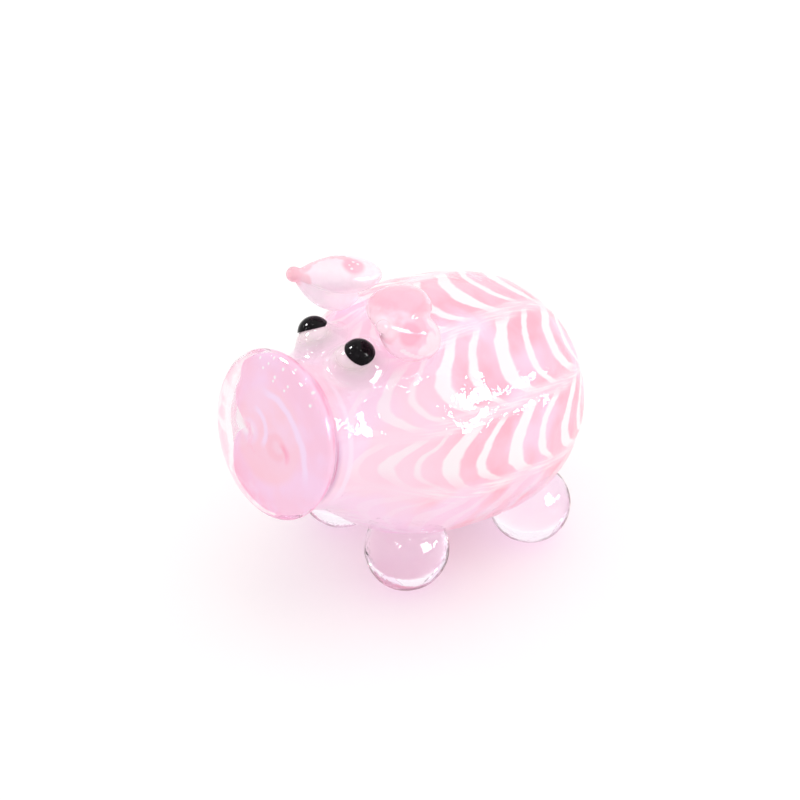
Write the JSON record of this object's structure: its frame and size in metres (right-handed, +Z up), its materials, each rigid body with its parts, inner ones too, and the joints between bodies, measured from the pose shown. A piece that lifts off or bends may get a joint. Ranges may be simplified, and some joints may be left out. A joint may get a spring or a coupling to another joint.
{
  "type": "pig figurine",
  "caption": "Small pig figurine of pink lampworked glass with combed white feather stripes under a clear casing, clear ball feet and leaf ears.",
  "frame": {"origin": "on the table, under the middle of the figurine's box", "axes": "+Z up, -Y towards the snout, +X towards the pig's left side"},
  "size_m": [0.0248, 0.0386, 0.0317],
  "materials": {
    "pink_glass": "glossy opal pink glass",
    "white_glass": "glossy opal white glass",
    "clear_casing": "polished clear glass",
    "clear_cap": "polished clear glass",
    "ear_glass": "polished pale pink glass",
    "foot_glass": "polished pale pink glass",
    "ivory_glass": "glossy ivory glass",
    "black_glass": "glossy black glass"
  },
  "bodies": {
    "root": {"body_core": "pink_glass", "feather_trail_1": "white_glass", "feather_trail_2": "white_glass", "feather_trail_3": "white_glass", "feather_trail_4": "white_glass", "feather_trail_5": "white_glass", "feather_trail_6": "white_glass", "feather_trail_7": "white_glass", "feather_trail_8": "white_glass", "feather_trail_9": "white_glass", "body_casing": "clear_casing", "snout_core": "pink_glass", "snout_cap": "clear_cap", "eye_white_left": "ivory_glass", "eye_white_right": "ivory_glass", "pupil_left": "black_glass", "pupil_right": "black_glass", "ear_left": "ear_glass", "ear_right": "ear_glass", "foot_front_left": "foot_glass", "foot_front_right": "foot_glass", "foot_rear_left": "foot_glass", "foot_rear_right": "foot_glass", "tail": "pink_glass"}
  },
  "joints": []
}
